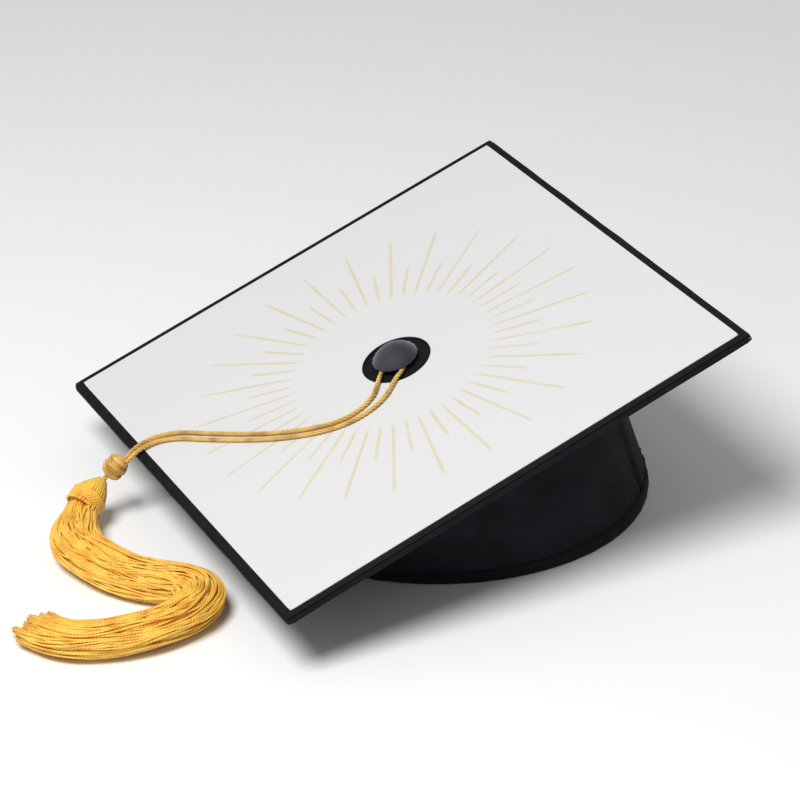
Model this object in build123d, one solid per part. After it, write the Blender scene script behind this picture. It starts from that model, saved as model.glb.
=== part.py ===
"""Graduation cap: covered board, soft skull-cap, button, tassel and a stick-on board topper.

Everything is modelled level in the cap's own frame: X across the wearer's face, -Y to the front,
+Z up, with z = 0 on the cloth top of the board and the button's axis at x = y = 0.
place() then lays the finished piece down as the cap rests: on its slanted rim, so that the
board leans forward and its front edge is low. In the finished frame the rim stands on z = 0.
The tassel's skirt lies on the same surface as the rim, so its route is given in that frame.
"""
from build123d import *
import os
from math import cos, radians, sin, tan

# Board: cloth-covered card, millimetres
BOARD_SIDE = 241.3          # 9.5 inch board
CARD_T = 1.7
CLOTH_T = 0.4
HEM = 14.0                  # top cloth turned under the card
UNDER_INSET = 3.0           # bottom cloth stops this far inside the edge
PIN_HOLE_R = 2.0
BOARD_CORNER_R = 1.5

# Topper: a printed card square on a black backing, stuck down with foam pads
FACE_SIDE = 232.5           # leaves over 4 mm of black showing all round
BACKING_SIDE = 239.5
TOPPER_HOLE_R = 16.5
PAD_T = 0.4
BACKING_T = 0.5
FACE_T = 0.5
PAD_SIDE = 18.0
PAD_SPACING = 88.0

# Button in the middle of the board
DOME_R = 10.2
DOME_H = 5.0
SHELL_T = 0.6
SKIN_T = 0.5
DOME_BASE_Z = 3.4           # room under the dome for the tassel's loop
SHANK_R = 1.8
WASHER_R = 7.0
WASHER_T = 0.8
LEG_LENGTH = 9.0
LEG_WIDTH = 2.6

# Skull-cap: half widths and half lengths of its outside, at the board and far below it
TILT = 19.3                 # angle between the rim's plane and the board
RIM_DROP = 74.0             # from the board's top down the button's axis to the rim's plane
TOP_HALF = (87.0, 92.5)
LOW_HALF = (97.0, 89.0)
LOW_Z = -130.0
PANEL = (0.0, 0.6)          # layers of the wall, as depths inwards from the outside
STIFFENER = (0.65, 1.45)
LINING = (1.5, 1.9)
SWEATBAND = (1.95, 2.75)
BINDING = (-0.55, 3.3)
BINDING_CLOTH = 0.5
BINDING_H = 7.0
SWEATBAND_H = 18.0
ELASTIC_H = (7.5, 17.0)
BACK_SEAMS = (50.0, 130.0)  # directions of the two back seams, from +X towards the back
FRONT_SEAM = 270.0
LABEL_SIZE = (26.0, 14.0)
LABEL_Z = 24.0
TIP_GAP = 2.1               # crown tip's edge inside the wall's outside

# Tassel
CORD_D = 2.2                # each strand of the loop
LOOP_R = 5.5                # loop's centreline round the shank
LOOP_HEADING = -41.0        # direction in which the loop leaves the button
KNOT = (-42.5, -124.6, 27.0)
KNOT_HALF = (5.2, 6.0, 5.2)
NECK_D = 2.4
HEAD_START = (-45.5, -130.8, 19.2)
HEAD_END = (-39.5, -142.6, 13.0)
HEAD_R = (3.4, 8.4)
NECK_GAP = 1.3              # room for the head to swing on its neck cord
BINDING_R = 9.0
BINDING_LENGTH = 5.0
SKIRT_D = 20.0
SKIRT_Z = SKIRT_D / 2 + 0.1

BOARD_T = CARD_T + 3 * CLOTH_T
TOPPER_T = PAD_T + BACKING_T + FACE_T

# Strands of the loop, in the cap's frame: from the knot to the button, then back to the knot.
STRAND_OUT = [
    (-38.8, -125.4, 2.4), (-41.0, -119.6, 4.2), (-39.0, -104.8, 3.4),
    (-16.8, -88.6, 3.0), (9.4, -66.0, 3.0), (25.5, -42.0, 3.0), (25.0, -20.5, 3.1),
    (14.8, -7.4, 3.5), (10.6, -2.3, 1.5),
]
STRAND_BACK = [
    (3.7, -10.2, 1.5), (9.3, -13.7, 3.5), (19.5, -23.0, 3.1), (21.6, -40.6, 3.0),
    (6.4, -63.2, 3.0), (-19.4, -85.4, 3.0), (-42.2, -102.0, 3.4),
    (-44.6, -119.2, 4.2), (-41.4, -125.7, 2.4),
]

# Skirt, let down from the head on to the surface under the cap, in the finished frame before
# it is centred.
SKIRT_ROUTE = [
    HEAD_END, (-22.0, -158.0, 10.6), (8.0, -151.5, SKIRT_Z), (27.0, -140.0, SKIRT_Z),
    (38.0, -124.5, SKIRT_Z), (53.0, -123.0, SKIRT_Z), (63.0, -137.0, SKIRT_Z),
    (65.5, -158.0, SKIRT_Z), (62.0, -178.0, SKIRT_Z), (49.0, -193.0, SKIRT_Z),
    (35.0, -196.5, SKIRT_Z),
]


def place(shape):
    """Lean a level piece forward and lift it so that the rim's plane is z = 0."""
    return Pos(0, 0, RIM_DROP * cos(radians(TILT))) * Rot(TILT, 0, 0) * shape


def plate(side, z_low, z_high, hole_r, corner_r=0.0):
    """Square plate with a round middle hole, between two heights."""
    outline = RectangleRounded(side, side, corner_r) if corner_r else Rectangle(side, side)
    return Pos(0, 0, z_low) * extrude(outline - Circle(hole_r), z_high - z_low)


def board_parts():
    """Card core, top cloth with its turned hem, and bottom cloth."""
    card_low = -CLOTH_T - CARD_T
    core = plate(BOARD_SIDE - 2 * CLOTH_T, card_low, -CLOTH_T, PIN_HOLE_R, BOARD_CORNER_R)
    block = plate(BOARD_SIDE, card_low - CLOTH_T, 0, PIN_HOLE_R, BOARD_CORNER_R + CLOTH_T)
    hem_side = BOARD_SIDE - 2 * HEM
    window = Pos(0, 0, -BOARD_T) * Box(hem_side, hem_side, 2 * (BOARD_T + card_low))
    cavity = plate(BOARD_SIDE - 2 * CLOTH_T, card_low, -CLOTH_T, 0.1, BOARD_CORNER_R)
    rod = Cylinder(1.0, 4 * BOARD_T)
    top_cover = block - (cavity + rod) - window
    bottom_cover = plate(BOARD_SIDE - 2 * UNDER_INSET, -BOARD_T, card_low - CLOTH_T, PIN_HOLE_R)
    return {"board_core": core, "board_top_cover": top_cover, "board_bottom_cover": bottom_cover}


def topper_parts():
    """White face card on its black backing, and the foam pads that hold it."""
    spots = [
        (x, y)
        for x in (-PAD_SPACING, 0, PAD_SPACING)
        for y in (-PAD_SPACING, 0, PAD_SPACING)
        if (x, y) != (0, 0)
    ]
    pads = Part() + [Pos(x, y, PAD_T / 2) * Box(PAD_SIDE, PAD_SIDE, PAD_T) for x, y in spots]
    backing = plate(BACKING_SIDE, PAD_T, PAD_T + BACKING_T, TOPPER_HOLE_R)
    face = plate(FACE_SIDE, PAD_T + BACKING_T, TOPPER_T, TOPPER_HOLE_R)
    return {"topper_pads": pads, "topper_backing": backing, "topper_face": face}


def dome(radius, height, z_base):
    """Solid spherical cap standing on z_base."""
    sphere_r = (radius**2 + height**2) / (2 * height)
    ball = Pos(0, 0, z_base + height - sphere_r) * Sphere(sphere_r)
    return ball & Pos(0, 0, z_base + height) * Box(4 * radius, 4 * radius, 2 * height)


def button_parts():
    """Covered dome on a split pin, with the pin's washer under the crown."""
    outer = dome(DOME_R, DOME_H, DOME_BASE_Z)
    inner = dome(DOME_R - SHELL_T, DOME_H - SHELL_T, DOME_BASE_Z)
    shell = outer - inner
    gap = 0.05
    skin_room = dome(DOME_R + gap, DOME_H + gap, DOME_BASE_Z)
    skin = dome(DOME_R + gap + SKIN_T, DOME_H + gap + SKIN_T, DOME_BASE_Z) - skin_room
    tuck = Circle(DOME_R + gap + SKIN_T) - Circle(0.55 * DOME_R)
    skin += Pos(0, 0, DOME_BASE_Z - SKIN_T) * extrude(tuck, SKIN_T)
    back_r = DOME_R - 2.2 * SHELL_T
    back = Pos(0, 0, DOME_BASE_Z) * extrude(Circle(back_r) - Circle(SHANK_R + gap), SHELL_T)

    tip_low = -BOARD_T - CLOTH_T
    leg_z = tip_low - WASHER_T
    pin_top = DOME_BASE_Z + SHELL_T
    pin = Pos(0, 0, leg_z) * extrude(Circle(SHANK_R), pin_top - leg_z)
    pin += Pos(0, 0, pin_top) * extrude(Circle(2.2 * SHANK_R), SHELL_T)
    pin += Pos(0, 0, leg_z - SHELL_T / 2) * Box(2 * LEG_LENGTH, LEG_WIDTH, SHELL_T)
    washer = Pos(0, 0, leg_z) * extrude(Circle(WASHER_R) - Circle(PIN_HOLE_R), WASHER_T)
    return {
        "button_shell": shell,
        "button_cover": skin,
        "button_back": back,
        "button_pin": pin,
        "button_washer": washer,
    }


def crown_body(depth):
    """Solid inside of the skull-cap's wall surface, depth inwards from the outside."""
    top = Pos(0, 0, -BOARD_T) * Ellipse(TOP_HALF[0] - depth, TOP_HALF[1] - depth)
    low = Pos(0, 0, LOW_Z) * Ellipse(LOW_HALF[0] - depth, LOW_HALF[1] - depth)
    return loft([top, low])


def slab(z_low, z_high):
    """Everything between two heights above the surface that the rim stands on."""
    return Pos(0, 0, (z_low + z_high) / 2) * Box(400, 400, z_high - z_low)


def wall(layer, z_low, z_high):
    """One layer of the wall as it stands, between two heights above the rim's plane."""
    ring = place(crown_body(layer[0]) - crown_body(layer[1]))
    return ring & slab(z_low, z_high)


def sector(start, end):
    """Upright wedge of the cap's frame between two directions, leaned with the cap."""
    reach = 200.0
    steps = 6
    turns = [radians(start + (end - start) * i / steps) for i in range(steps + 1)]
    outline = Polygon([(0, 0)] + [(reach * cos(a), reach * sin(a)) for a in turns], align=None)
    return place(Pos(0, 0, LOW_Z - 40) * extrude(outline, 200))


def crown_parts():
    """Panels, stiffener, lining, sweatband, rim binding, elastic, tips and blank label."""
    above = 200.0
    floor = BINDING_CLOTH
    right_seam, left_seam = BACK_SEAMS
    outside = wall(PANEL, floor, above)
    parts = {
        "crown_panel_left": outside & sector(FRONT_SEAM - 360, right_seam),
        "crown_panel_right": outside & sector(left_seam, FRONT_SEAM),
        "crown_panel_back": outside & sector(right_seam, left_seam),
        "crown_stiffener": wall(STIFFENER, floor, above) & sector(left_seam + 1, right_seam + 359),
        "crown_lining": wall(LINING, floor, above),
        "sweatband": wall(SWEATBAND, floor, SWEATBAND_H),
        "elastic_band": wall(STIFFENER, *ELASTIC_H) & sector(right_seam + 2, left_seam - 2),
    }
    hem_outside = (BINDING[0] + BINDING_CLOTH, BINDING[1] - BINDING_CLOTH)
    parts["rim_binding"] = wall(BINDING, 0, BINDING_H) - wall(hem_outside, floor, above)

    tip_low = -BOARD_T - CLOTH_T
    tip = Ellipse(TOP_HALF[0] - TIP_GAP, TOP_HALF[1] - TIP_GAP)
    parts["crown_tip"] = place(Pos(0, 0, tip_low) * extrude(tip - Circle(PIN_HOLE_R), CLOTH_T))
    lining_z = tip_low - WASHER_T - SHELL_T - 2 * CLOTH_T
    parts["tip_lining"] = place(Pos(0, 0, lining_z) * extrude(tip, CLOTH_T - 0.1))

    label_room = Pos(0, 150, LABEL_Z + LABEL_SIZE[1] / 2) * Box(LABEL_SIZE[0], 120, LABEL_SIZE[1])
    parts["size_label"] = wall((LINING[1] + 0.1, LINING[1] + 0.5), floor, above) & label_room
    return parts


def corner_radii(points):
    """Largest arcs that the runs allow, one for each inner point of a route."""
    radii = []
    for before, here, after in zip(points, points[1:], points[2:]):
        run_in = Vector(*here) - Vector(*before)
        run_out = Vector(*after) - Vector(*here)
        turn = radians(run_in.get_angle(run_out))
        radii.append(0.45 * min(run_in.length, run_out.length) / tan(turn / 2))
    return radii


def tube(name, points, diameter):
    """Round cord along straight runs joined by tangent arcs."""
    radii = corner_radii(points)
    path = FilletPolyline(*points, radius=radii)
    profile = Plane(origin=path @ 0, z_dir=path % 0) * Circle(diameter / 2)
    cord = sweep(profile, path=path)
    section = Circle(diameter / 2).area
    print(
        f"{name}: length {path.length:.1f} mm, radii {[round(r, 1) for r in radii]},"
        f" volume / (section x length) = {cord.volume / (section * path.length):.4f}"
    )
    return cord


def cone_between(start, end, start_r, end_r):
    """Round tapered piece along a straight line."""
    axis = Vector(*end) - Vector(*start)
    body = loft([Sketch() + Circle(start_r), Pos(0, 0, axis.length) * Circle(end_r)])
    return Plane(origin=start, z_dir=axis.normalized()) * body


def loop_bend():
    """Corners of the loop behind the button's shank, on the side away from the strands."""
    corners = []
    reach = LOOP_R / cos(radians(30))
    for turn in (-60, 0, 60):
        heading = radians(LOOP_HEADING + 180 + turn)
        corners.append((reach * cos(heading), reach * sin(heading), 1.5))
    return corners


def tassel_parts():
    """Loop, knot, neck cord, tassel head, its bound collar and the skirt of threads."""
    loop = place(tube("tassel_loop", STRAND_OUT + loop_bend() + STRAND_BACK, CORD_D))
    heading = Vector(*HEAD_START) - Vector(*KNOT)
    along = Plane(origin=KNOT, x_dir=(1, 0, 0), z_dir=heading.normalized())
    knot = along * scale(Sphere(1), by=(KNOT_HALF[0], KNOT_HALF[2], KNOT_HALF[1]))
    neck_end = Vector(*HEAD_START) - heading.normalized() * NECK_GAP
    neck = cone_between(KNOT, tuple(neck_end), NECK_D / 2, NECK_D / 2) - knot
    head = cone_between(HEAD_START, HEAD_END, *HEAD_R)
    run = (Vector(*HEAD_END) - Vector(*HEAD_START)).normalized()
    collar_start = Vector(*HEAD_END) - run * (BINDING_LENGTH + 1)
    collar_end = Vector(*HEAD_END) - run
    collar = cone_between(tuple(collar_start), tuple(collar_end), BINDING_R, BINDING_R) - head
    skirt = tube("tassel_skirt", SKIRT_ROUTE, SKIRT_D) - head - collar
    skirt = max(skirt.solids(), key=lambda piece: piece.volume)
    return {
        "tassel_loop": loop,
        "tassel_knot": knot,
        "tassel_neck": neck,
        "tassel_head": head,
        "tassel_collar": collar,
        "tassel_skirt": skirt,
    }


def main():
    level = {**board_parts(), **topper_parts(), **button_parts()}
    cap = {name: place(shape) for name, shape in level.items()}
    cap.update(crown_parts())
    boxes = [shape.bounding_box() for shape in cap.values()]
    front = min(box.min.Y for box in boxes)
    back = max(box.max.Y for box in boxes)
    centre = Pos(0, -(front + back) / 2, 0)
    print(f"centring shift along Y: {-(front + back) / 2:.3f} mm")
    os.makedirs("parts", exist_ok=True)
    for name, shape in {**cap, **tassel_parts()}.items():
        export_step(centre * shape, f"parts/{name}.step")


main()
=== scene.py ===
"""Looks of the graduation cap: cloth, card, button, cords and tassel round the CAD frame."""
import math
import random

import bpy
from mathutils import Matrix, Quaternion, Vector


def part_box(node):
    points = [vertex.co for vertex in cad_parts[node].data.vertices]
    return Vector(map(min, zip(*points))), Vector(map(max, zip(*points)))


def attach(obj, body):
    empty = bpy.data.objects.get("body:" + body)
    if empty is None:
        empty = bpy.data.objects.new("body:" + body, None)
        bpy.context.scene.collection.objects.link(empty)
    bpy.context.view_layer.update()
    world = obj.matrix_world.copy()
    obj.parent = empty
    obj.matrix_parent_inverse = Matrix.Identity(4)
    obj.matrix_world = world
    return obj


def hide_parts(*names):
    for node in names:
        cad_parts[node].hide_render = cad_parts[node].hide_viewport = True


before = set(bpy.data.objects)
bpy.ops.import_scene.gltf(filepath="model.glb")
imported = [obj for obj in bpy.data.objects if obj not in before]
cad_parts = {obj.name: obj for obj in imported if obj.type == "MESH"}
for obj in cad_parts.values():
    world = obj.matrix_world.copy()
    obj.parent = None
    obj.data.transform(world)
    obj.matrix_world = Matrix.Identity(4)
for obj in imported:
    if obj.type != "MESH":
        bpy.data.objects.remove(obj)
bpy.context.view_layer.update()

# ------------------------------------------------------------------ sizes, in metres
MM = 0.001
TILT = math.radians(19.3)           # the board leans forward by this much
HALF = 0.2413 / 2                   # half the board's side
BOARD_T = 0.0029
CLOTH_T = 0.0004
HEM = 0.014
FACE_HALF = 0.2325 / 2
BACKING_HALF = 0.2395 / 2
HOLE_R = 0.0165
PAD_T, BACKING_T, FACE_T = 0.0004, 0.0005, 0.0005
DOME_BASE_Z = 0.0034
DOME_R, DOME_H = 0.0107, 0.0056
TOP_HALF = (0.0870, 0.0925)         # skull-cap's outside at the board
LOW_HALF = (0.0970, 0.0890)         # and at LOW_Z below it
LOW_Z = -0.130
BACK_SEAMS = (50.0, 130.0)
FRONT_SEAM = 270.0
CORD_D = 0.0022
CORD_PITCH = 0.0068                 # length of one turn of a cord's plies
NECK_D = 0.0024
SKIRT_D = 0.020

cover_low, cover_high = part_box("board_top_cover")
CENTRE_Y = cover_low.y + HALF * math.cos(TILT)
CENTRE_Z = cover_high.z - HALF * math.sin(TILT)


def lean(x, y, z):
    """Point of the level cap, z = 0 on the board's cloth, where it lies in the row frame."""
    return Vector((
        x,
        CENTRE_Y + y * math.cos(TILT) - z * math.sin(TILT),
        CENTRE_Z + y * math.sin(TILT) + z * math.cos(TILT),
    ))


# ------------------------------------------------------------------ camera
AIM = Vector((0.0059, -0.0049, 0.0532))
AZIMUTH, ELEVATION, DISTANCE = math.radians(63.6), math.radians(28.4), 1.487
ROLL = math.radians(-1.04)
camera_data = bpy.data.cameras.new("camera")
camera_data.lens = 145.8
camera = bpy.data.objects.new("camera", camera_data)
bpy.context.scene.collection.objects.link(camera)
back = Vector((
    math.sin(AZIMUTH) * math.cos(ELEVATION),
    -math.cos(AZIMUTH) * math.cos(ELEVATION),
    math.sin(ELEVATION),
))
camera.location = AIM + back * DISTANCE
camera.rotation_mode = "QUATERNION"
camera.rotation_quaternion = (-back).to_track_quat("-Z", "Y") @ Quaternion((0, 0, 1), ROLL)
bpy.context.scene.camera = camera


# ------------------------------------------------------------------ mesh helpers
def new_object(name, verts, faces, uvs=None, smooth=True):
    """Object from points and faces; uvs holds one (u, v) per corner of each face."""
    mesh = bpy.data.meshes.new(name)
    mesh.from_pydata([tuple(v) for v in verts], [], faces)
    if uvs is not None:
        layer = mesh.uv_layers.new(name="UVMap")
        flat = [c for face in uvs for uv in face for c in uv]
        layer.data.foreach_set("uv", flat)
    mesh.polygons.foreach_set("use_smooth", [smooth] * len(mesh.polygons))
    mesh.update()
    obj = bpy.data.objects.new(name, mesh)
    bpy.context.scene.collection.objects.link(obj)
    return obj


class Builder:
    """Collects closed shapes into one mesh, with UVs in metres along and around them."""

    def __init__(self):
        self.verts = []
        self.faces = []
        self.uvs = []

    def face(self, corners, uv):
        self.faces.append(corners)
        self.uvs.append(uv)

    def grid(self, rows, closed_rows=False, closed_columns=False, uv=None, flip=False):
        """Quads between rows of points; uv(i, j) gives the map's place of point j in row i."""
        start = len(self.verts)
        count_rows, count_columns = len(rows), len(rows[0])
        for row in rows:
            self.verts.extend(row)
        uv = uv or (lambda i, j: (j / count_columns, i / count_rows))
        for i in range(count_rows if closed_rows else count_rows - 1):
            for j in range(count_columns if closed_columns else count_columns - 1):
                ni, nj = (i + 1) % count_rows, (j + 1) % count_columns
                ring = [
                    start + i * count_columns + j,
                    start + i * count_columns + nj,
                    start + ni * count_columns + nj,
                    start + ni * count_columns + j,
                ]
                marks = [uv(i, j), uv(i, j + 1), uv(i + 1, j + 1), uv(i + 1, j)]
                if flip:
                    ring.reverse()
                    marks.reverse()
                self.face(ring, marks)
        return start

    def cap(self, first, count, flip=False):
        """Closes a ring of points with one flat face."""
        ring = list(range(first, first + count))
        if flip:
            ring.reverse()
        self.face(ring, [(0.0, 0.0)] * count)

    def tube(self, points, radii, sides, turn=0.0):
        """Closed tube along points; radii is one number or one for each point."""
        if not hasattr(radii, "__len__"):
            radii = [radii] * len(points)
        rows = []
        lengths = [0.0]
        for a, b in zip(points, points[1:]):
            lengths.append(lengths[-1] + (b - a).length)
        for centre, (side, up), radius in zip(points, frames(points), radii):
            ring = []
            for k in range(sides):
                a = turn + math.tau * k / sides
                ring.append(centre + (side * math.cos(a) + up * math.sin(a)) * radius)
            rows.append(ring)
        girth = math.tau * max(radii)
        start = self.grid(
            rows, closed_columns=True, uv=lambda i, j: (lengths[i], girth * j / sides)
        )
        self.cap(start, sides, flip=True)
        self.cap(start + (len(rows) - 1) * sides, sides)

    def build(self, name, smooth=True):
        return new_object(name, self.verts, self.faces, self.uvs, smooth)


def frames(points):
    """Side and up directions at each point of a line, carried along without twist."""
    tangents = []
    for i in range(len(points)):
        ahead = points[min(i + 1, len(points) - 1)]
        behind = points[max(i - 1, 0)]
        tangents.append((ahead - behind).normalized())
    side = tangents[0].cross(Vector((0, 0, 1)))
    if side.length < 1e-3:
        side = tangents[0].cross(Vector((0, 1, 0)))
    side.normalize()
    result = []
    for tangent in tangents:
        side = (side - tangent * side.dot(tangent)).normalized()
        result.append((side, tangent.cross(side)))
    return result


def spline_points(route, steps):
    """Points along the smooth line of a cord's route, so many for each point of the route."""
    data = bpy.data.curves.new("route", "CURVE")
    data.dimensions = "3D"
    data.resolution_u = steps
    spline = data.splines.new("NURBS")
    spline.points.add(len(route) - 1)
    for point, place in zip(spline.points, route):
        point.co = (*place, 1.0)
    spline.order_u = 3
    spline.use_endpoint_u = True
    holder = bpy.data.objects.new("route", data)
    bpy.context.scene.collection.objects.link(holder)
    bpy.context.view_layer.update()
    line = bpy.data.meshes.new_from_object(holder)
    points = [v.co.copy() for v in line.vertices]
    bpy.data.objects.remove(holder)
    bpy.data.meshes.remove(line)
    return points


def line_length(points):
    return sum((b - a).length for a, b in zip(points, points[1:]))


def smoothstep(low, high, x):
    share = min(max((x - low) / (high - low), 0.0), 1.0)
    return share * share * (3 - 2 * share)


# ------------------------------------------------------------------ materials
class Nodes:
    """Short way to write a procedural material."""

    def __init__(self, name, color, roughness, **settings):
        self.material = bpy.data.materials.new(name)
        self.material.use_nodes = True
        self.tree = self.material.node_tree
        self.shader = self.tree.nodes["Principled BSDF"]
        self.set("Base Color", (*color, 1.0))
        self.set("Roughness", roughness)
        for key, value in settings.items():
            self.set(key.replace("_", " "), value)

    def set(self, socket, value):
        self.shader.inputs[socket].default_value = value

    def add(self, kind, **values):
        node = self.tree.nodes.new(kind)
        for key, value in values.items():
            if hasattr(node, key):
                setattr(node, key, value)
            else:
                node.inputs[key.replace("_", " ")].default_value = value
        return node

    def link(self, output, target):
        self.tree.links.new(output, target)

    def coordinates(self, kind, scale=(1, 1, 1), rotation=(0, 0, 0), location=(0, 0, 0)):
        source = self.add("ShaderNodeTexCoord")
        mapping = self.add("ShaderNodeMapping")
        mapping.inputs["Scale"].default_value = scale
        mapping.inputs["Rotation"].default_value = rotation
        mapping.inputs["Location"].default_value = location
        self.link(source.outputs[kind], mapping.inputs["Vector"])
        return mapping.outputs["Vector"]

    def noise(self, vector, scale, detail=3.0, roughness=0.5):
        node = self.add("ShaderNodeTexNoise")
        node.inputs["Scale"].default_value = scale
        node.inputs["Detail"].default_value = detail
        node.inputs["Roughness"].default_value = roughness
        self.link(vector, node.inputs["Vector"])
        return node.outputs["Fac"]

    def math(self, operation, a, b=None):
        node = self.add("ShaderNodeMath")
        node.operation = operation
        for value, socket in zip((a, b), node.inputs):
            if value is None:
                continue
            if isinstance(value, (int, float)):
                socket.default_value = value
            else:
                self.link(value, socket)
        return node.outputs[0]

    def ramp(self, value, stops):
        """Colour ramp; stops are (position, (r, g, b))."""
        node = self.add("ShaderNodeValToRGB")
        elements = node.color_ramp.elements
        while len(elements) < len(stops):
            elements.new(0.5)
        for element, (place, color) in zip(elements, stops):
            element.position = place
            element.color = (*color, 1.0)
        self.link(value, node.inputs["Fac"])
        return node.outputs["Color"]

    def spread(self, value, low, high, to_low, to_high):
        node = self.add("ShaderNodeMapRange")
        node.inputs["From Min"].default_value = low
        node.inputs["From Max"].default_value = high
        node.inputs["To Min"].default_value = to_low
        node.inputs["To Max"].default_value = to_high
        self.link(value, node.inputs["Value"])
        return node.outputs["Result"]

    def bump(self, height, strength, distance):
        node = self.add("ShaderNodeBump")
        node.inputs["Strength"].default_value = strength
        node.inputs["Distance"].default_value = distance
        self.link(height, node.inputs["Height"])
        previous = self.shader.inputs["Normal"]
        if previous.is_linked:
            self.link(previous.links[0].from_socket, node.inputs["Normal"])
        self.link(node.outputs["Normal"], previous)

    def color(self, output):
        self.link(output, self.shader.inputs["Base Color"])


def weave_height(m, vector, pitch):
    """Plain weave: threads one way over threads the other way, pitch apart."""
    split = m.add("ShaderNodeSeparateXYZ")
    m.link(vector, split.inputs[0])
    turns = math.pi / pitch
    across = m.math("SINE", m.math("MULTIPLY", split.outputs["X"], turns))
    along = m.math("SINE", m.math("MULTIPLY", split.outputs["Y"], turns))
    return m.math("MULTIPLY", across, along)


def cloth_material(name, color, pitch, coordinates="UV", roughness=0.85, sheen=0.25, uneven=1.45):
    """Woven cloth: thread pattern, uneven tone and a faint sheen; a high uneven, as on the crown cloth,
    lightens patches as painted highlight.
    """
    m = Nodes(name, color, roughness, Sheen_Weight=sheen, Sheen_Roughness=0.4)
    m.set("Specular IOR Level", 0.2)
    vector = m.coordinates(coordinates)
    weave = weave_height(m, vector, pitch)
    tone = m.math("ADD", m.noise(vector, 60.0, 4.0), m.math("MULTIPLY", weave, 0.12))
    dark = tuple(c * 0.7 for c in color)
    light = tuple(min(1.0, c * uneven) for c in color)
    m.color(m.ramp(tone, [(0.3, dark), (0.75, light)]))
    m.bump(m.noise(vector, 900.0, 2.0), 0.15, 0.0002)
    m.bump(weave, 0.5, 0.00012)
    return m.material


def card_material(name, color):
    """Grey-brown pulp board."""
    m = Nodes(name, color, 0.9)
    vector = m.coordinates("Object")
    dark = tuple(c * 0.75 for c in color)
    m.color(m.ramp(m.noise(vector, 420.0, 6.0, 0.7), [(0.35, dark), (0.65, color)]))
    m.bump(m.noise(vector, 1500.0, 3.0), 0.3, 0.0002)
    return m.material


def sunburst(m, vector, count):
    """1 on the thin rays of a regular sunburst, every second one shorter, else 0."""
    split = m.add("ShaderNodeSeparateXYZ")
    m.link(vector, split.inputs[0])
    x, y = split.outputs["X"], split.outputs["Y"]
    turns = m.math("MULTIPLY", m.math("ARCTAN2", y, x), count / math.tau)
    radius = m.math("SQRT", m.math("ADD", m.math("MULTIPLY", x, x), m.math("MULTIPLY", y, y)))
    off_ray = m.math("MULTIPLY", m.math("PINGPONG", turns, 0.5), radius)
    short = m.math("PINGPONG", m.math("FLOOR", m.math("ADD", turns, 0.5)), 1.0)
    reach = m.math("SUBTRACT", 0.097, m.math("MULTIPLY", short, 0.024))
    inside = m.spread(m.math("SUBTRACT", reach, radius), 0.0, 0.004, 0.0, 1.0)
    outside = m.spread(radius, 0.046, 0.052, 0.0, 1.0)
    on_ray = m.spread(off_ray, 0.0050, 0.0075, 1.0, 0.0)
    return m.math("MULTIPLY", on_ray, m.math("MULTIPLY", inside, outside))


def topper_material(name):
    """Smooth white card printed with a faint regular sunburst in pale gold."""
    white = (0.68, 0.68, 0.68)
    m = Nodes(name, white, 0.5)
    m.set("Specular IOR Level", 0.3)
    vector = m.coordinates("UV")
    rays = m.math("MULTIPLY", sunburst(m, vector, 52), m.spread(m.noise(vector, 60.0), 0.3, 0.7, 0.55, 1.0))
    m.color(m.ramp(rays, [(0.0, white), (1.0, (0.64, 0.58, 0.38))]))
    m.bump(m.noise(vector, 700.0, 3.0), 0.05, 0.0001)
    return m.material


def black_sheet_material(name):
    """Matte black backing sheet."""
    m = Nodes(name, (0.004, 0.004, 0.005), 0.7)
    m.set("Specular IOR Level", 0.2)
    vector = m.coordinates("Object")
    m.color(m.ramp(m.noise(vector, 300.0), [(0.3, (0.003, 0.003, 0.004)), (0.7, (0.007, 0.007, 0.008))]))
    m.bump(m.noise(vector, 1200.0), 0.2, 0.0001)
    return m.material


def gold_material(name, color, deep, twist_pitch):
    """Golden rayon: fine ply lines round each thread, with uneven dye and silky sheen."""
    m = Nodes(name, color, 0.42, Sheen_Weight=0.35, Sheen_Roughness=0.35, Anisotropic=0.4)
    m.set("Sheen Tint", (1.0, 0.86, 0.5, 1.0))
    m.set("Specular IOR Level", 0.5)
    uv = m.coordinates("UV")
    split = m.add("ShaderNodeSeparateXYZ")
    m.link(uv, split.inputs[0])
    slant = m.math("ADD", split.outputs["X"], m.math("MULTIPLY", split.outputs["Y"], 0.9))
    ply = m.math("SINE", m.math("MULTIPLY", slant, math.tau / twist_pitch))
    place = m.coordinates("Object")
    tone = m.math("ADD", m.noise(place, 130.0, 4.0), m.math("MULTIPLY", ply, 0.14))
    m.color(m.ramp(tone, [(0.28, deep), (0.5, color), (0.8, tuple(min(1.0, c * 1.15) for c in color))]))
    m.bump(ply, 0.5, 0.00015)
    return m.material


def metal_material(name, color, roughness):
    """Plain pressed metal with fine handling marks."""
    m = Nodes(name, color, roughness, Metallic=1.0)
    vector = m.coordinates("Object")
    m.link(m.spread(m.noise(vector, 400.0), 0.3, 0.7, roughness - 0.08, roughness + 0.12),
           m.shader.inputs["Roughness"])
    m.color(m.ramp(m.noise(vector, 90.0), [(0.3, tuple(c * 0.8 for c in color)), (0.7, color)]))
    return m.material


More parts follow.
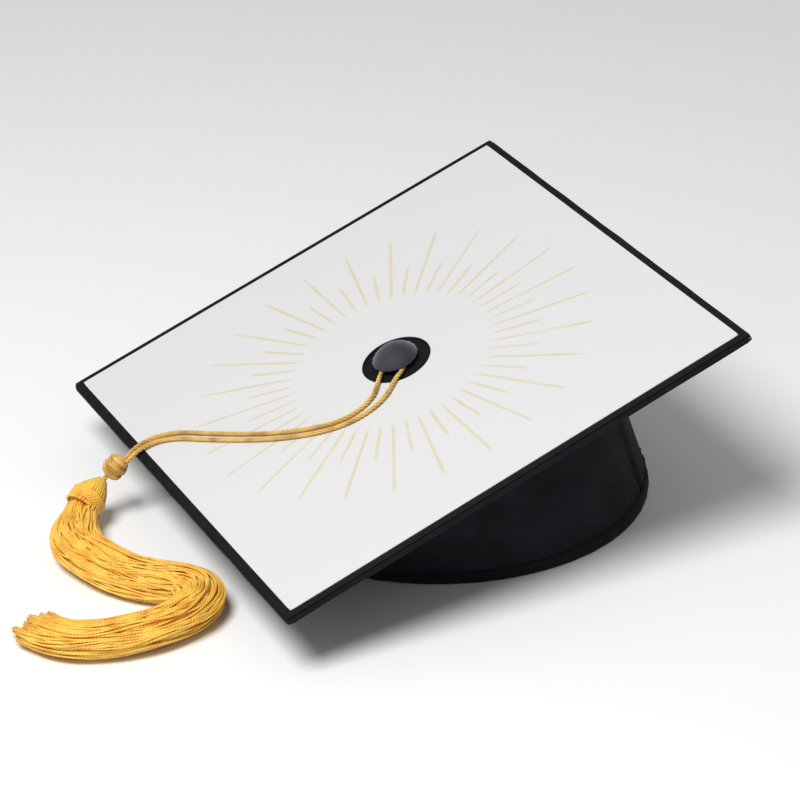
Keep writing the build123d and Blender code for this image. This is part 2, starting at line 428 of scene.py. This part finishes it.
BLACK = (0.0045, 0.0045, 0.0055)
MATERIALS = {
    "black_cloth": cloth_material("black_cloth", BLACK, 0.00055, sheen=0.06),
    # Crown cloth: the black cloth again, tinted bluish and mottled up to 2.2 times lighter. These are painted
    # bluish highlights of the wall's folds, laid over the cloth's own uneven tone.
    "crown_cloth": cloth_material("crown_cloth", (0.0055, 0.005, 0.0085), 0.00055, sheen=0.03, uneven=2.2),
    "lining_cloth": cloth_material("lining_cloth", (0.018, 0.018, 0.021), 0.0004, roughness=0.55),
    "band_cloth": cloth_material("band_cloth", (0.016, 0.016, 0.018), 0.0009),
    "binding_tape": cloth_material("binding_tape", BLACK, 0.0007, sheen=0.08),
    "button_cloth": cloth_material("button_cloth", (0.030, 0.030, 0.038), 0.0005, roughness=0.5, sheen=0.6),
    "label_cloth": cloth_material("label_cloth", (0.80, 0.80, 0.76), 0.0004, roughness=0.6),
    "elastic": cloth_material("elastic", (0.03, 0.03, 0.032), 0.0011, coordinates="Object"),
    "card": card_material("card", (0.42, 0.34, 0.25)),
    "topper_white": topper_material("topper_white"),
    "topper_black": black_sheet_material("topper_black"),
    "tassel_threads": gold_material("tassel_threads", (0.96, 0.58, 0.085), (0.80, 0.33, 0.015), 0.0016),
    "tassel_cord": gold_material("tassel_cord", (0.80, 0.50, 0.12), (0.38, 0.17, 0.025), 0.0009),
    "button_metal": metal_material("button_metal", (0.62, 0.62, 0.62), 0.32),
    "pin_brass": metal_material("pin_brass", (0.75, 0.55, 0.22), 0.3),
    "pad_foam": card_material("pad_foam", (0.82, 0.82, 0.78)),
}


def finish_piece(obj, slot, body, *nodes):
    """Gives a piece its material and body, and hides the CAD nodes it stands for."""
    obj.data.materials.clear()
    obj.data.materials.append(MATERIALS[slot])
    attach(obj, body)
    if nodes:
        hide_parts(*nodes)
    return obj


# ------------------------------------------------------------------ tassel: loop of cord
STRAND_Z = 0.0027
STRAND_OUT = [
    (-0.0388, -0.1254, 0.0024), (-0.0410, -0.1196, 0.0040), (-0.0390, -0.1048, STRAND_Z),
    (-0.0168, -0.0886, STRAND_Z), (0.0094, -0.0660, STRAND_Z), (0.0255, -0.0420, STRAND_Z),
    (0.0250, -0.0205, STRAND_Z), (0.0148, -0.0074, 0.0035), (0.0106, -0.0023, 0.0015),
]
STRAND_BACK = [
    (0.0037, -0.0102, 0.0015), (0.0093, -0.0137, 0.0035), (0.0195, -0.0230, STRAND_Z),
    (0.0216, -0.0406, STRAND_Z), (0.0064, -0.0632, STRAND_Z), (-0.0194, -0.0854, STRAND_Z),
    (-0.0422, -0.1020, STRAND_Z), (-0.0446, -0.1192, 0.0040), (-0.0414, -0.1257, 0.0024),
]
LOOP_R = 0.0055
LOOP_HEADING = -41.0


def loop_bend():
    """Corners of the loop behind the button's shank."""
    corners = []
    reach = LOOP_R / math.cos(math.radians(30))
    for turn in (-60, 0, 60):
        heading = math.radians(LOOP_HEADING + 180 + turn)
        corners.append((reach * math.cos(heading), reach * math.sin(heading), 0.0015))
    return corners


def twisted_cord(points, diameter, pitch, plies=3, sides=7):
    """Plies laid helically round a line."""
    cord = Builder()
    ply_r = diameter * 0.235
    offset = diameter / 2 - ply_r
    for k in range(plies):
        strand = []
        run = 0.0
        previous = points[0]
        for centre, (side, up) in zip(points, frames(points)):
            run += (centre - previous).length
            previous = centre
            a = math.tau * (run / pitch + k / plies)
            strand.append(centre + (side * math.cos(a) + up * math.sin(a)) * offset)
        cord.tube(strand, ply_r, sides)
    return cord


loop_route = [lean(*p) for p in STRAND_OUT + loop_bend() + STRAND_BACK]
loop_line = spline_points(loop_route, 32)
loop = twisted_cord(loop_line, CORD_D, CORD_PITCH).build("tassel_loop_cord")
finish_piece(loop, "tassel_cord", "tassel_strands", "tassel_loop")

# ------------------------------------------------------------------ tassel: knot and neck
knot_low, knot_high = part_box("tassel_knot")
KNOT = (knot_low + knot_high) / 2
HEAD_START = Vector((-0.0455, CENTRE_Y - 0.1308, 0.0192))
HEAD_END = Vector((-0.0395, CENTRE_Y - 0.1426, 0.0130))


def knot_mesh():
    """Knot: turns of the doubled cord wound round a core, slanting over each other."""
    knot = Builder()
    along = (HEAD_START - KNOT).normalized()
    side = along.cross(Vector((0, 0, 1))).normalized()
    up = side.cross(along)
    core = []
    radii = []
    for i in range(15):
        share = -1 + 2 * i / 14
        core.append(KNOT + along * (share * 0.0058))
        radii.append(0.0043 * math.sqrt(max(1 - share * share * 0.88, 0.01)))
    knot.tube(core, radii, 16)
    for place, lean_by, radius in ((-0.0036, 0.30, 0.0034), (-0.0018, -0.34, 0.0042), (0.0002, 0.36, 0.0045),
                                   (0.0020, -0.30, 0.0042), (0.0037, 0.22, 0.0033)):
        ring = []
        for i in range(33):
            a = math.tau * i / 32
            sway = along * (place + lean_by * radius * math.cos(a))
            ring.append(KNOT + sway + (side * math.cos(a) + up * math.sin(a)) * radius)
        knot.tube(ring, 0.0011, 9)
    for end in (loop_line[0], loop_line[-1]):
        stub = [end.lerp(KNOT - along * 0.002, i / 8) for i in range(9)]
        knot.tube(stub, CORD_D * 0.45, 9)
    return knot.build("tassel_cord_knot")


knot = finish_piece(knot_mesh(), "tassel_cord", "tassel_drop", "tassel_knot")
neck_axis = (HEAD_START - KNOT).normalized()
neck_length = (HEAD_START - KNOT).length
neck_line = [KNOT + neck_axis * (0.004 + (neck_length - 0.0046) * i / 25) for i in range(26)]
neck = twisted_cord(neck_line, NECK_D, CORD_PITCH).build("tassel_neck_cord")
finish_piece(neck, "tassel_cord", "tassel_drop", "tassel_neck")
tuple(loop_line[0])
line_length(loop_line)
[tuple(p) for p in loop_line]

# ------------------------------------------------------------------ tassel: head and collar
head_axis = (HEAD_END - HEAD_START).normalized()
head_side = head_axis.cross(Vector((0, 0, 1))).normalized()
head_up = head_side.cross(head_axis)
HEAD_LENGTH = (HEAD_END - HEAD_START).length


def round_head(axial, angle, radius):
    """Point on a round section of the tassel's head, axial metres from its start."""
    spoke = head_side * math.cos(angle) + head_up * math.sin(angle)
    return HEAD_START + head_axis * axial + spoke * radius


def head_mesh():
    """Threads folded over the neck cord, side by side, swelling towards the collar."""
    head = Builder()
    count = 46
    inner = [HEAD_START + head_axis * (HEAD_LENGTH * i / 8) for i in range(9)]
    head.tube(inner, [0.0020, 0.0040, 0.0052, 0.0060, 0.0066, 0.0070, 0.0072, 0.0074, 0.0076], 16)
    rng = random.Random(7)
    for k in range(count):
        angle = math.tau * k / count + rng.uniform(-0.04, 0.04)
        thread = []
        for i in range(15):
            share = i / 14
            swell = 0.0022 + 0.0060 * math.sin(min(share * 1.15, 1.0) * math.pi / 2)
            pinch = 0.0005 * smoothstep(0.55, 0.75, share) * (1 - smoothstep(0.9, 1.0, share))
            wander = 0.02 * math.sin(5 * share + k)
            thread.append(round_head(-0.0010 + (HEAD_LENGTH + 0.0022) * share, angle + wander, swell - pinch))
        head.tube(thread, [0.00030 + 0.00032 * smoothstep(0, 0.4, i / 14) for i in range(15)], 6)
    return head.build("tassel_head_threads")


def collar_mesh():
    """Thread wound several times round the head just above the skirt."""
    collar = Builder()
    turns = 6
    ring = []
    for i in range(turns * 36 + 1):
        angle = math.tau * i / 36
        axial = HEAD_LENGTH - 0.0056 + 0.00082 * i / 36
        ring.append(round_head(axial, angle, 0.0083 + 0.00012 * math.sin(angle * 0.7)))
    collar.tube(ring, 0.00046, 7)
    return collar.build("tassel_collar_winding")


head = finish_piece(head_mesh(), "tassel_threads", "tassel_end", "tassel_head")
collar = finish_piece(collar_mesh(), "tassel_threads", "tassel_end", "tassel_collar")

# ------------------------------------------------------------------ tassel: skirt of threads
SKIRT_Z = SKIRT_D / 2 + 0.0001
OUTER_THREADS, INNER_THREADS = 250, 80
CORE_END, INNER_START = 0.94, 0.91  # shares of the length
SKIRT_ROUTE = [
    (-0.0395, -0.1426, 0.0130), (-0.0220, -0.1580, 0.0106), (0.0080, -0.1515, SKIRT_Z),
    (0.0270, -0.1400, SKIRT_Z), (0.0380, -0.1245, SKIRT_Z), (0.0530, -0.1230, SKIRT_Z),
    (0.0630, -0.1370, SKIRT_Z), (0.0655, -0.1580, SKIRT_Z), (0.0620, -0.1780, SKIRT_Z),
    (0.0490, -0.1930, SKIRT_Z), (0.0350, -0.1965, SKIRT_Z),
]


def skirt_mesh(line):
    """Fine threads that run with the skirt, and short ones that fill its cut end."""
    rng = random.Random(11)
    total = line_length(line)
    shares = [line_length(line[: i + 1]) / total for i in range(len(line))]
    bases = frames(line)
    up = Vector((0, 0, 1))
    skirt = Builder()

    def section(share):
        """Half width and half height of the bundle at a share of its length."""
        grow = smoothstep(0.0, 0.12, share)
        fan = smoothstep(0.80, 1.0, share)
        return 0.0078 + 0.0036 * grow + 0.0006 * fan, 0.0072 + 0.0004 * grow - 0.0020 * fan

    for beside in (-0.42, 0.0, 0.42):
        core = []
        core_r = []
        for share, centre, (side, _) in zip(shares, line, bases):
            if share > CORE_END:
                break
            half_w, half_h = section(share)
            middle = centre + side * (beside * half_w)
            core.append(Vector((middle.x, middle.y, centre.z - SKIRT_Z + half_h + 0.0004)))
            core_r.append((0.68 - 0.3 * abs(beside)) * half_h)
        skirt.tube(core, core_r, 10)

    for k in range(OUTER_THREADS + INNER_THREADS):
        outer = k < OUTER_THREADS
        start = 0.0 if outer else INNER_START
        depth = math.sqrt(rng.uniform(0.42, 1.0) if outer else rng.uniform(0.0, 0.42))
        angle = rng.uniform(0, math.tau)
        drift = rng.uniform(-0.35, 0.35)
        phase = rng.uniform(0, math.tau)
        phase_2 = rng.uniform(0, math.tau)
        waves = rng.uniform(3.0, 6.0)
        end = min(1.0, 1.008 - abs(rng.gauss(0, 0.018)))
        thick = rng.uniform(0.00045, 0.00065)
        thread = []
        radii = []
        for share, centre, (side, _) in zip(shares, line, bases):
            if share < start:
                continue
            if share > end:
                break
            half_w, half_h = section(share)
            a = angle + drift * share + 0.13 * math.sin(waves * share * math.tau + phase)
            reach = depth + 0.05 * math.sin(9 * share + phase_2)
            across = side * (reach * half_w * math.cos(a))
            height = centre.z - SKIRT_Z + half_h + 0.0003 + reach * half_h * math.sin(a)
            thread.append(Vector((centre.x, centre.y, 0)) + across + up * max(height, thick + 0.0002))
            radii.append(thick)
        skirt.tube(thread, radii, 5, turn=phase)
    return skirt.build("tassel_skirt_threads")


skirt_line = spline_points([(x, y + CENTRE_Y, z) for x, y, z in SKIRT_ROUTE], 9)
skirt = finish_piece(skirt_mesh(skirt_line), "tassel_threads", "tassel_end", "tassel_skirt")
tuple(skirt_line[0])
line_length(skirt_line)
[tuple(p) for p in skirt_line]


# ------------------------------------------------------------------ board
def square_loop(half, corner_r, count, z, sway=0.0):
    """Rounded square in the cap's level frame, count points, starting at the +X side's middle."""
    points = []
    for i in range(count):
        a = math.tau * i / count
        c, s = math.cos(a), math.sin(a)
        reach = half / max(abs(c), abs(s))
        x, y = reach * c, reach * s
        inner = half - corner_r
        if abs(x) > inner and abs(y) > inner:
            corner = Vector((math.copysign(inner, x), math.copysign(inner, y)))
            out = Vector((x, y)) - corner
            out.normalize()
            x, y = corner + out * corner_r
        ripple = sway * math.sin(23 * a + 1.3) * math.sin(7 * a)
        points.append((x * (1 + ripple / half), y * (1 + ripple / half), z))
    return points


def circle_loop(radius, count, z):
    return [
        (radius * math.cos(math.tau * i / count), radius * math.sin(math.tau * i / count), z)
        for i in range(count)
    ]


def plate_mesh(name, loops):
    """Closed ring-shaped plate from a closed series of loops, leaned with the cap."""
    body = Builder()
    rows = [[lean(*p) for p in loop] for loop in loops]
    count = len(loops[0])

    def uv(i, j):
        x, y, z = loops[i % len(loops)][j % count]
        return (x + z, y + z)

    body.grid(rows, closed_rows=True, closed_columns=True, uv=uv)
    return body.build(name)


AROUND = 512
EDGE_R = 0.0008


def board_cloth():
    """Top cloth: hole, flat top, edge drawn over the card, hem turned under."""
    low = -BOARD_T + CLOTH_T
    loops = [circle_loop(0.0020, AROUND, -0.00012), circle_loop(0.0022, AROUND, 0.0)]
    loops += [circle_loop(r, AROUND, 0.0) for r in (0.008, 0.016)]
    for half in (0.060, 0.110, 0.1172):
        loops.append(square_loop(half, 0.002, AROUND, 0.0))
    for step in range(7):
        a = math.pi / 2 * step / 6
        edge = HALF - EDGE_R * (1 - math.sin(a))
        loops.append(square_loop(edge, 0.0022, AROUND, -EDGE_R * (1 - math.cos(a)), 0.00012))
    for step in range(7):
        a = math.pi / 2 * step / 6
        edge = HALF - EDGE_R * (1 - math.cos(a))
        loops.append(square_loop(edge, 0.0022, AROUND, low + EDGE_R * (1 - math.sin(a)), 0.00012))
    inner = HALF - HEM
    loops.append(square_loop(inner + 0.0004, 0.001, AROUND, low))
    loops.append(square_loop(inner, 0.001, AROUND, low + 0.0002))
    loops.append(square_loop(inner + 0.0002, 0.001, AROUND, low + CLOTH_T - 0.00005))
    loops.append(square_loop(HALF - CLOTH_T, 0.001, AROUND, low + CLOTH_T - 0.00005))
    loops.append(square_loop(HALF - CLOTH_T, 0.001, AROUND, -CLOTH_T + 0.00005))
    loops.append(square_loop(0.060, 0.001, AROUND, -CLOTH_T + 0.00005))
    loops.append(circle_loop(0.0020, AROUND, -CLOTH_T + 0.00005))
    return plate_mesh("board_cloth_top", loops)


def under_cloth():
    """Bottom cloth, laid on the hem and slack between."""
    top = -BOARD_T + CLOTH_T
    half = HALF - 0.003
    loops = [circle_loop(0.002, AROUND, -BOARD_T), circle_loop(0.030, AROUND, -BOARD_T)]
    loops.append(square_loop(0.090, 0.002, AROUND, -BOARD_T))
    loops.append(square_loop(half - 0.0003, 0.001, AROUND, -BOARD_T, 0.0001))
    loops.append(square_loop(half, 0.001, AROUND, -BOARD_T + 0.0002, 0.0001))
    loops.append(square_loop(half - 0.0001, 0.001, AROUND, top - 0.00002, 0.0001))
    loops.append(square_loop(0.090, 0.002, AROUND, top - 0.00002))
    loops.append(circle_loop(0.002, AROUND, top - 0.00002))
    return plate_mesh("board_cloth_under", loops[::-1])


def card_square(name, half, low, high, bevel):
    """Flat card with a round hole and slightly rounded edges."""
    loops = [
        circle_loop(HOLE_R, AROUND, high - bevel), circle_loop(HOLE_R + bevel, AROUND, high),
        circle_loop(HOLE_R + 0.006, AROUND, high), square_loop(0.06, 0.001, AROUND, high),
        square_loop(half - bevel, 0.0004, AROUND, high), square_loop(half, 0.0006, AROUND, high - bevel),
        square_loop(half, 0.0006, AROUND, low + bevel), square_loop(half - bevel, 0.0004, AROUND, low),
        square_loop(0.06, 0.001, AROUND, low), circle_loop(HOLE_R + bevel, AROUND, low),
        circle_loop(HOLE_R, AROUND, low + bevel),
    ]
    obj = plate_mesh(name, loops)
    obj.data.polygons.foreach_set("use_smooth", [False] * len(obj.data.polygons))
    return obj


finish_piece(board_cloth(), "black_cloth", "cap", "board_top_cover")
finish_piece(under_cloth(), "black_cloth", "cap", "board_bottom_cover")
finish_piece(
    card_square("topper_back_sheet", BACKING_HALF, PAD_T, PAD_T + BACKING_T, 0.0001),
    "topper_black", "cap", "topper_backing",
)
finish_piece(
    card_square("topper_face_card", FACE_HALF, PAD_T + BACKING_T, PAD_T + BACKING_T + FACE_T, 0.0001),
    "topper_white", "cap", "topper_face",
)


# ------------------------------------------------------------------ button
def button_mesh():
    """Cloth drawn over a dome, gathered in small pleats where it turns under the rim."""
    rows = []
    around = 96
    sphere_r = (DOME_R**2 + DOME_H**2) / (2 * DOME_H)
    centre_z = DOME_BASE_Z + DOME_H - sphere_r
    edge = math.asin(DOME_R / sphere_r)
    profile = []
    for step in range(1, 19):
        a = edge * step / 18
        profile.append((sphere_r * math.sin(a), centre_z + sphere_r * math.cos(a), step / 18))
    profile += [
        (DOME_R + 0.0001, DOME_BASE_Z - 0.00015, 1.0), (DOME_R - 0.0003, DOME_BASE_Z - 0.0005, 1.0),
        (0.0085, DOME_BASE_Z - 0.0005, 0.8), (0.0062, DOME_BASE_Z - 0.00045, 0.4),
    ]
    for radius, z, pleat in profile:
        row = []
        for i in range(around):
            a = math.tau * i / around
            fold = 0.00016 * pleat**6 * math.sin(24 * a) + 0.00005 * math.sin(3 * a + 1)
            row.append(lean((radius + fold) * math.cos(a), (radius + fold) * math.sin(a), z))
        rows.append(row)
    button = Builder()

    def uv(i, j):
        a = math.tau * j / around
        radius = profile[min(i, len(profile) - 1)][0]
        return (radius * math.cos(a), radius * math.sin(a))

    start = button.grid(rows, closed_columns=True, uv=uv)
    top = len(button.verts)
    button.verts.append(lean(0, 0, DOME_BASE_Z + DOME_H))
    for j in range(around):
        nj = (j + 1) % around
        button.face([start + nj, start + j, top], [uv(0, nj), uv(0, j), (0.0, 0.0)])
    button.cap(start + (len(rows) - 1) * around, around, flip=False)
    return button.build("button_cloth_cover")


finish_piece(button_mesh(), "button_cloth", "cap", "button_cover")


# ------------------------------------------------------------------ skull-cap
def crown_point(angle, share, depth):
    """Point of the skull-cap's wall: share 0 at the rim, 1 at the board; depth inwards."""
    c, s = math.cos(angle), math.sin(angle)
    top = lean((TOP_HALF[0] - depth) * c, (TOP_HALF[1] - depth) * s, -BOARD_T)
    low = lean((LOW_HALF[0] - depth) * c, (LOW_HALF[1] - depth) * s, LOW_Z)
    rim = top.lerp(low, top.z / (top.z - low.z))
    return rim.lerp(top, share)


def outwards(angle):
    out = Vector((math.cos(angle) / TOP_HALF[0], math.sin(angle) / TOP_HALF[1], 0)).normalized()
    return Vector((out.x, out.y * math.cos(TILT), out.y * math.sin(TILT)))


def folds(angle, share):
    """Soft outward buckles of the cloth wall, none at the board's seam and few at the rim."""
    middle = math.sin(math.pi * min(max(share, 0.0), 1.0)) ** 0.8
    back = 0.5 + 0.5 * math.sin(angle)
    slow = math.sin(3 * angle + 4.0 * share + 0.6) + 0.6 * math.sin(5 * angle - 5.5 * share + 2.1)
    crumple = 0.5 * math.sin(11 * angle + 7 * share) * math.sin(4 * angle + 1.0)
    wave = (0.8 + 0.8 * back) * (0.9 * slow + 0.6 * crumple)
    gather = math.exp(-((math.degrees(angle) % 360 - 90) / 32) ** 2) * (1 - smoothstep(0.1, 0.65, share))
    ripple = 1 + math.sin(61 * angle + 3 * math.sin(9 * angle))
    upright = (0.5 + 0.5 * math.sin(15 * angle + 1.6 * math.sin(4 * angle) + 1.5 * share)) ** 3
    drape = 0.5 * (wave + math.sqrt(wave * wave + 0.3)) + 1.3 * upright
    return MM * (middle * drape + 0.45 * ripple * gather)


def seam_dip(angle, seams, width):
    """1 on a seam, falling to 0 at width beside it."""
    nearest = min(abs((angle - s + math.pi) % math.tau - math.pi) for s in seams)
    return 1 - smoothstep(0.0, width, nearest)


SEAMS = [math.radians(a) for a in (*BACK_SEAMS, FRONT_SEAM)]


def panel_mesh(name, start_deg, end_deg, rows=26):
    """One cloth panel of the wall, as a thin closed shell whose sides dip into the seams."""
    columns = max(24, round((end_deg - start_deg) * 1.6))
    outer, inner = [], []
    for i in range(rows + 1):
        share = 0.006 + 0.992 * i / rows
        row_out, row_in = [], []
        for j in range(columns + 1):
            angle = math.radians(start_deg + (end_deg - start_deg) * j / columns)
            wave = folds(angle, share) * smoothstep(0.0, 0.05, share)
            dip = 0.0007 * seam_dip(angle, SEAMS, 0.028)
            pinch = 0.0006 * smoothstep(0.9, 1.0, share)
            out = outwards(angle) * (wave - dip - pinch)
            row_out.append(crown_point(angle, share, 0.0) + out)
            row_in.append(crown_point(angle, share, 0.0005) + out)
        outer.append(row_out)
        inner.append(row_in)
    panel = Builder()
    width = math.radians(end_deg - start_deg) * 0.09

    def uv(i, j):
        return (width * j / columns, 0.08 * i / rows)

    a = panel.grid(outer, uv=uv)
    b = panel.grid(inner, uv=uv, flip=True)
    span = columns + 1
    border = [(i, 0) for i in range(rows)] + [(rows, j) for j in range(columns)]
    border += [(i, columns) for i in range(rows, 0, -1)] + [(0, j) for j in range(columns, 0, -1)]
    for (i, j), (ni, nj) in zip(border, border[1:] + border[:1]):
        ring = [a + i * span + j, a + ni * span + nj, b + ni * span + nj, b + i * span + j]
        panel.face(ring, [uv(i, j), uv(ni, nj), uv(ni, nj), uv(i, j)])
    return panel.build(name)


for part_name, start_seam, end_seam in (
    ("left", FRONT_SEAM - 360, BACK_SEAMS[0]), ("right", BACK_SEAMS[1], FRONT_SEAM), ("back", *BACK_SEAMS),
):
    panel = panel_mesh(f"crown_cloth_{part_name}", start_seam, end_seam)
    finish_piece(panel, "crown_cloth", "cap", f"crown_panel_{part_name}")


def ring_mesh(name, profile, around, wave=None):
    """Closed band round the wall; profile gives height and depth, wave moves its outer side."""
    rows = []
    for height, depth in profile:
        row = []
        for j in range(around):
            angle = math.tau * j / around
            top_z = crown_point(angle, 1.0, depth).z
            share = height / top_z
            out = wave(angle, share) if wave and depth < 0 else 0.0
            row.append(crown_point(angle, share, depth) + outwards(angle) * out)
        rows.append(row)
    band = Builder()

    def uv(i, j):
        height, depth = profile[i % len(profile)]
        return (0.56 * j / around, height + depth)

    band.grid(rows, closed_rows=True, closed_columns=True, uv=uv)
    return band.build(name)


def tape_wave(angle, share):
    small = 0.12 * MM * math.sin(47 * angle) * math.sin(5 * angle)
    return small + folds(angle, share) * smoothstep(0.0, 0.05, share)


BINDING_PROFILE = [
    (0.0068, -0.0004), (0.0060, -0.00055), (0.0035, -0.0006), (0.0012, -0.00055), (0.0004, -0.0003),
    (0.0001, 0.0006), (0.0001, 0.0022), (0.0004, 0.0031), (0.0012, 0.0033), (0.0055, 0.0033),
    (0.0068, 0.0031), (0.0068, 0.0028), (0.0008, 0.0028), (0.0006, 0.0014), (0.0008, -0.00005),
    (0.0068, -0.00005),
]
finish_piece(ring_mesh("rim_tape", BINDING_PROFILE, 300, tape_wave), "binding_tape", "cap", "rim_binding")
SWEATBAND_PROFILE = [
    (0.0008, 0.00195), (0.0180, 0.00195), (0.0183, 0.0022), (0.0180, 0.00275), (0.0120, 0.00285),
    (0.0060, 0.00275), (0.0008, 0.00275),
]
finish_piece(ring_mesh("inner_sweatband", SWEATBAND_PROFILE, 300), "band_cloth", "cap", "sweatband")


def lining_mesh():
    """Thin lining hung inside the wall, loosely following the cloth outside it."""
    around, rows = 260, 22
    layers = []
    for depth in (0.0015, 0.0019):
        grid = []
        for i in range(rows + 1):
            share = 0.012 + 0.976 * i / rows
            row = []
            for j in range(around):
                angle = math.tau * j / around
                slack = -0.00025 * (1 + math.sin(31 * angle)) * smoothstep(0.4, 0.9, share)
                row.append(crown_point(angle, share, depth) + outwards(angle) * slack)
            grid.append(row)
        layers.append(grid)
    body = Builder()
    body.grid(layers[0] + layers[1][::-1], closed_rows=True, closed_columns=True,
              uv=lambda i, j: (0.56 * j / around, 0.003 * i))
    return body.build("crown_inner_lining")


finish_piece(lining_mesh(), "lining_cloth", "cap", "crown_lining")


def disc_mesh(name, half, z_low, z_high, hole_r, sag):
    """Flat oval cloth with a slight sag, closed all round."""
    around = 180
    tops, lows = [], []
    hole = max(hole_r, 0.0004)
    for step in range(9):
        share = step / 8
        drop = sag * math.sin(math.pi * share) if sag else 0.0
        top_row, low_row = [], []
        for j in range(around):
            a = math.tau * j / around
            x = (hole + (half[0] - hole) * share) * math.cos(a)
            y = (hole + (half[1] - hole) * share) * math.sin(a)
            ripple = 0.4 * drop * math.sin(9 * a + 4 * share)
            top_row.append((x, y, z_high - drop - ripple))
            low_row.append((x, y, z_low - drop - ripple))
        tops.append(top_row)
        lows.append(low_row)
    return plate_mesh(name, lows[::-1] + tops)


tip_half = (TOP_HALF[0] - 0.0021, TOP_HALF[1] - 0.0021)
TIP_LOW = -BOARD_T - CLOTH_T
finish_piece(
    disc_mesh("crown_top_cloth", tip_half, TIP_LOW, -BOARD_T - 0.00005, 0.002, 0.0),
    "crown_cloth", "cap", "crown_tip",
)
LINING_Z = TIP_LOW - 0.0024
finish_piece(
    disc_mesh("crown_top_lining", tip_half, LINING_Z, LINING_Z + 0.0004, 0.0, 0.0012),
    "lining_cloth", "cap", "tip_lining",
)


def label_mesh():
    """Blank woven label sewn to the lining at the back."""
    columns, rows = 24, 8
    outer, inner = [], []
    for i in range(rows + 1):
        height = 0.024 + 0.014 * i / rows
        row_out, row_in = [], []
        for j in range(columns + 1):
            angle = math.radians(90) + (j / columns - 0.5) * 0.026 / 0.0885
            share = height / crown_point(angle, 1.0, 0.002).z
            curl = outwards(angle) * (-0.0002 * (2 * abs(j / columns - 0.5)) ** 4)
            row_out.append(crown_point(angle, share, 0.0021) + curl)
            row_in.append(crown_point(angle, share, 0.0024) + curl)
        outer.append(row_out)
        inner.append(row_in)
    label = Builder()
    uv = lambda i, j: (0.026 * j / columns, 0.014 * i / rows)
    a = label.grid(outer, uv=uv)
    b = label.grid(inner, uv=uv, flip=True)
    span = columns + 1
    border = [(i, 0) for i in range(rows)] + [(rows, j) for j in range(columns)]
    border += [(i, columns) for i in range(rows, 0, -1)] + [(0, j) for j in range(columns, 0, -1)]
    for (i, j), (ni, nj) in zip(border, border[1:] + border[:1]):
        ring = [a + i * span + j, a + ni * span + nj, b + ni * span + nj, b + i * span + j]
        label.face(ring, [uv(i, j)] * 4)
    return label.build("blank_label")


finish_piece(label_mesh(), "label_cloth", "cap", "size_label")


# ------------------------------------------------------------------ stitching
def stitches(name, place, count, length_share, radius, slot):
    """Row of separate stitches; place(t) gives a point and its outward direction."""
    row = Builder()
    for k in range(count):
        points = []
        radii = []
        for step in range(6):
            along = step / 5
            t = (k + length_share * along) / count
            point, out = place(t)
            points.append(point + out * (radius * 0.9 * math.sin(math.pi * along)))
            radii.append(radius * (0.6 + 0.4 * math.sin(math.pi * along)))
        row.tube(points, radii, 6)
    return finish_piece(row.build(name), slot, "cap")


def rim_stitch(t):
    angle = math.tau * t
    share = 0.0056 / crown_point(angle, 1.0, 0.0).z
    out = outwards(angle)
    return crown_point(angle, share, -0.0006) + out * tape_wave(angle, share), out


stitches("rim_stitching", rim_stitch, 190, 0.68, 0.00018, "binding_tape")


def seam_row(seam, side):
    def place(t):
        angle = math.radians(seam) + side * 0.030
        share = 0.12 + 0.84 * t
        return crown_point(angle, share, 0.0) + outwards(angle) * folds(angle, share), outwards(angle)

    return place


for seam in (*BACK_SEAMS, FRONT_SEAM):
    for side in (-1, 1):
        rows = 8 if seam == FRONT_SEAM else 24
        stitches(f"seam_stitching_{round(seam)}_{'a' if side < 0 else 'b'}", seam_row(seam, side), rows, 0.66,
                 0.00016, "crown_cloth")

# ------------------------------------------------------------------ CAD nodes that show as they are
for node, slot in {
    "board_core": "card", "topper_pads": "pad_foam", "button_shell": "button_metal",
    "button_back": "button_metal", "button_pin": "pin_brass", "button_washer": "button_metal",
    "crown_stiffener": "card", "elastic_band": "elastic",
}.items():
    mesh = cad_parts[node].data
    mesh.materials.clear()
    mesh.materials.append(MATERIALS[slot])

# ------------------------------------------------------------------ floor and light
floor_material = Nodes("floor", (0.93, 0.93, 0.93), 0.7)
floor = new_object("floor", [(-4, -4, 0), (4, -4, 0), (4, 4, 0), (-4, 4, 0)], [(0, 1, 2, 3)])
floor.data.materials.append(floor_material.material)

world = bpy.data.worlds.new("world")
world.use_nodes = True
world.node_tree.nodes["Background"].inputs["Color"].default_value = (1.0, 1.0, 1.0, 1.0)
world.node_tree.nodes["Background"].inputs["Strength"].default_value = 0.30
bpy.context.scene.world = world
bpy.context.scene.view_settings.view_transform = "Standard"


def area_light(name, location, target, size, power):
    data = bpy.data.lights.new(name, "AREA")
    data.shape = "DISK"
    data.size = size
    data.energy = power
    light = bpy.data.objects.new(name, data)
    light.location = location
    light.rotation_mode = "QUATERNION"
    light.rotation_quaternion = (Vector(target) - Vector(location)).to_track_quat("-Z", "Y")
    bpy.context.scene.collection.objects.link(light)


area_light("key", (0.42, -0.72, 1.35), (0, 0, 0), 0.7, 22.6)
area_light("back_fill", (-0.5, 1.2, 1.4), (0, 0, 0), 1.0, 1.5)
